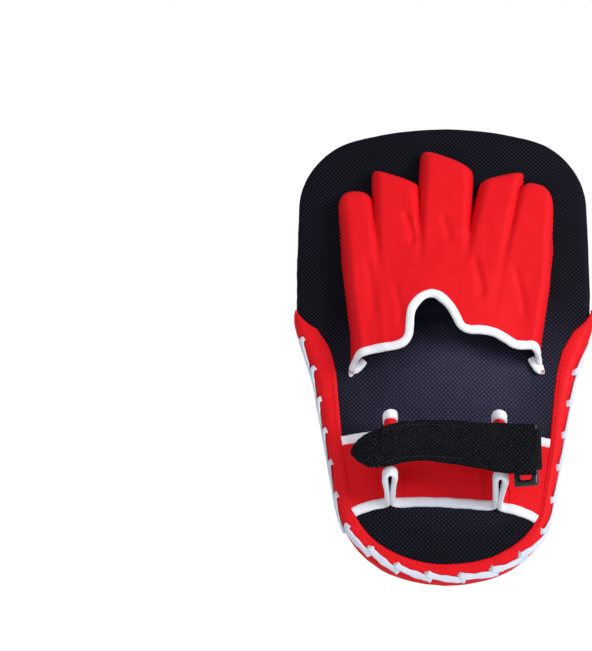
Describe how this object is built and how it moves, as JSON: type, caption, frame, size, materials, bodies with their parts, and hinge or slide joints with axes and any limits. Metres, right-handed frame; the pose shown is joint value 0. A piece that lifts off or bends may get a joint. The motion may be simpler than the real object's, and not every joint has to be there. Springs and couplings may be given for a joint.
{
  "type": "focus mitt",
  "caption": "Left-hand boxing focus mitt: curved-outline padded target with a glove back, laced rim, wrist band and hook-and-loop wrist strap.",
  "frame": {"origin": "crown of the palm bolster on the hand side, where the palm presses", "axes": "+Z to the fingertips, +X to the thumb side, +Y out of the striking face"},
  "size_m": [0.2, 0.0997, 0.3199],
  "materials": {
    "red_leather": "smooth semi-gloss",
    "black_vinyl": "fine pebbled satin",
    "black_mesh_vinyl": "fine dotted weave",
    "white_lace": "flat white thong",
    "board": "hidden",
    "core_foam": "hidden closed-cell foam",
    "impact_foam": "hidden open-cell foam",
    "glove_leather": "soft semi-gloss",
    "white_binding": "folded white tape",
    "black_webbing": "brushed nylon",
    "loop_pile": "loop pile",
    "hook_tape": "hook tape",
    "black_plastic": "moulded, slight gloss"
  },
  "bodies": {
    "pad": {"striking_face": "red_leather", "edge_band": "red_leather", "back_border": "red_leather", "side_gusset": "black_vinyl", "back_panel": "black_mesh_vinyl", "lacing": "white_lace", "backing_board": "board", "core_foam": "core_foam", "impact_foam": "impact_foam", "palm_bolster_cover": "black_mesh_vinyl", "palm_bolster_foam": "impact_foam", "hand_cover": "glove_leather", "thumb_stall": "glove_leather", "index_finger_stall": "glove_leather", "middle_finger_stall": "glove_leather", "ring_finger_stall": "glove_leather", "little_finger_stall": "glove_leather", "glove_binding": "white_binding", "wrist_band": "glove_leather", "wrist_binding_upper": "white_binding", "wrist_binding_lower": "white_binding", "strap_under_layer": "black_webbing", "loop_patch": "loop_pile", "ring_tab": "black_webbing"},
    "ring": {"strap_ring": "black_plastic", "strap_fold": "black_webbing"},
    "tail": {"strap_tail": "black_webbing", "hook_patch": "hook_tape"},
    "tip": {"strap_tip": "black_webbing"}
  },
  "joints": [
    {"name": "ring_swivel", "type": "hinge", "parent": "pad", "child": "ring", "pos_m": [0.044, -0.025, -0.0715], "axis": [0, 0, -1], "range_deg": [0, 20]},
    {"name": "tail_peel", "type": "hinge", "parent": "ring", "child": "tail", "pos_m": [0.054, -0.0336, -0.0715], "axis": [0, 0, 1], "range_deg": [0, 140]},
    {"name": "tip_peel", "type": "hinge", "parent": "tail", "child": "tip", "pos_m": [-0.041, -0.0342, -0.0715], "axis": [0, 0, 1], "range_deg": [0, 55]}
  ],
  "couplings": [
    {"joint": "ring_swivel", "follows": "tail_peel", "ratio": 0.14286}
  ]
}
